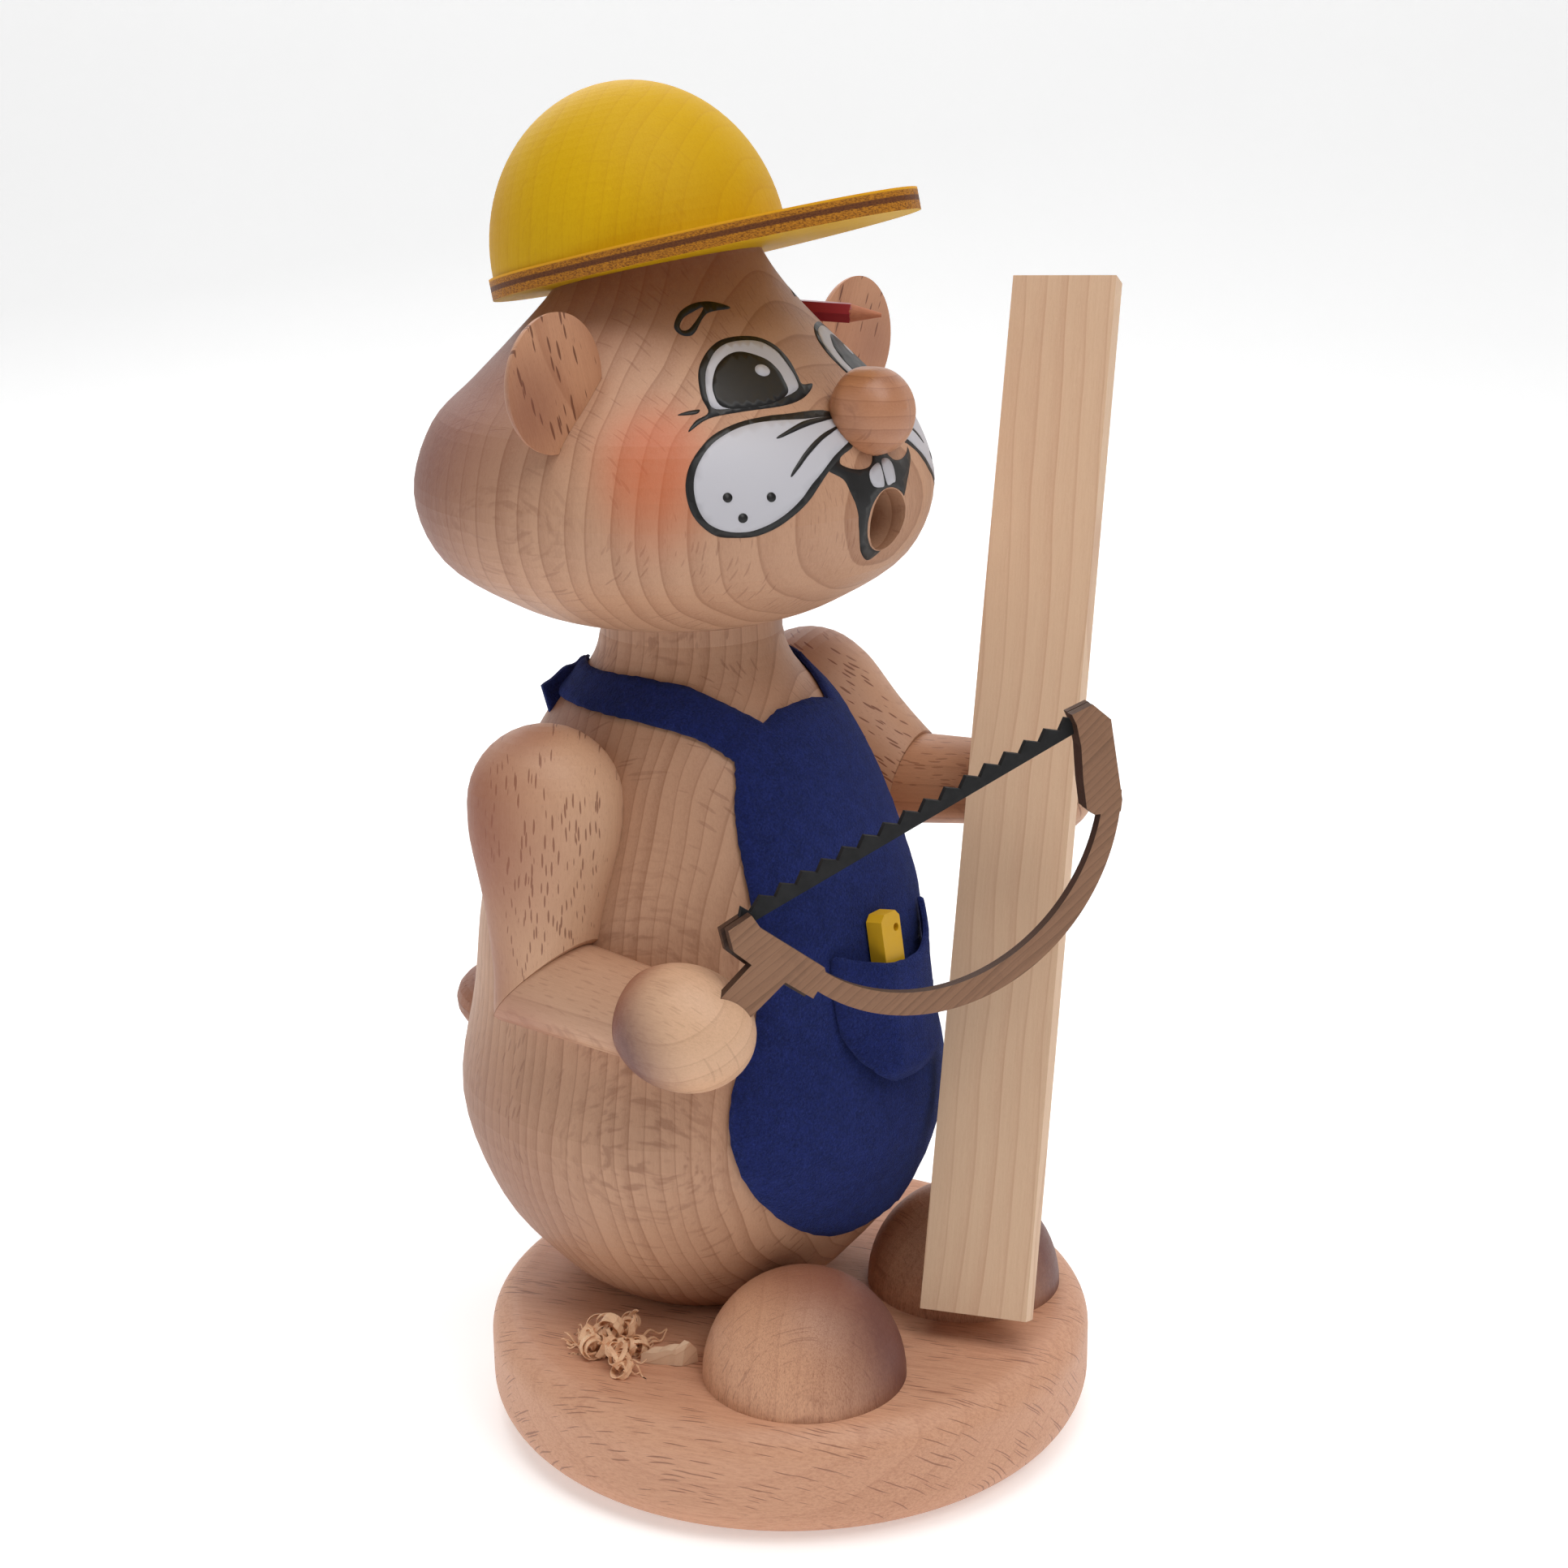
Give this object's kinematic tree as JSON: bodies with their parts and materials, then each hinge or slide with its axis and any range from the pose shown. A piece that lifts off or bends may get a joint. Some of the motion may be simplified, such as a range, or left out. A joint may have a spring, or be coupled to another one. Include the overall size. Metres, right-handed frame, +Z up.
{
  "type": "turned wooden incense smoker figure",
  "caption": "Turned-wood beaver carpenter incense smoker with yellow cap, bow saw, board and blue felt apron; the hollow figure lifts off its base to load a cone.",
  "frame": {"origin": "centre of the base plate's underside, on the surface it stands on", "axes": "+Z up; the figure faces -Y, with its saw arm on the -X side and its board arm on the +X side"},
  "size_m": [0.1298, 0.1325, 0.2384],
  "materials": {
    "beech": "clear matt lacquer, airbrushed brown at the edges",
    "beech_red": "clear matt lacquer, reddish",
    "tail_brown": "brown stain",
    "hat_yellow": "yellow stain, satin lacquer",
    "walnut": "bare, laser cut",
    "blade_black": "matt black stain",
    "softwood": "bare, planed",
    "shaving": "bare, curled",
    "pencil_red": "gloss lacquer over wood",
    "pencil_lead": "waxy",
    "felt": "wool felt",
    "rule_yellow": "satin lacquer over wood",
    "steel": "pressed sheet, bare"
  },
  "bodies": {
    "base": {"base_plate": "beech_red", "seat_disc": "beech", "right_foot": "beech_red", "left_foot": "beech_red", "foot_dowels": "beech", "wood_shavings": "shaving", "wood_chip": "shaving"},
    "figure": {"body": "beech", "tail": "tail_brown", "head": "beech", "nose": "beech_red", "right_ear": "beech_red", "left_ear": "beech_red", "hat_brim": "hat_yellow", "hat_crown": "hat_yellow", "hat_dowel": "beech", "pencil_casing": "pencil_red", "pencil_lead": "pencil_lead", "shoulder_dowels": "beech", "right_upper_arm": "beech", "right_forearm": "beech", "right_hand": "beech", "left_upper_arm": "beech", "left_forearm": "beech", "left_hand": "beech", "saw_frame": "walnut", "saw_blade": "blade_black", "saw_back_blocks": "walnut", "board": "softwood", "apron": "felt", "neck_strap": "felt", "pocket": "felt"},
    "dish": {"incense_dish": "steel"},
    "rule": {"folding_rule": "rule_yellow"}
  },
  "joints": [
    {"name": "figure_lift", "type": "slide", "parent": "base", "child": "figure", "axis": [0, 0, 1], "range_m": [0, 0.06]},
    {"name": "dish_lift", "type": "slide", "parent": "base", "child": "dish", "axis": [0, 0, 1], "range_m": [0, 0.02]},
    {"name": "rule_slide", "type": "slide", "parent": "figure", "child": "rule", "axis": [0, 0.1495, 0.9888], "range_m": [0, 0.02]}
  ]
}
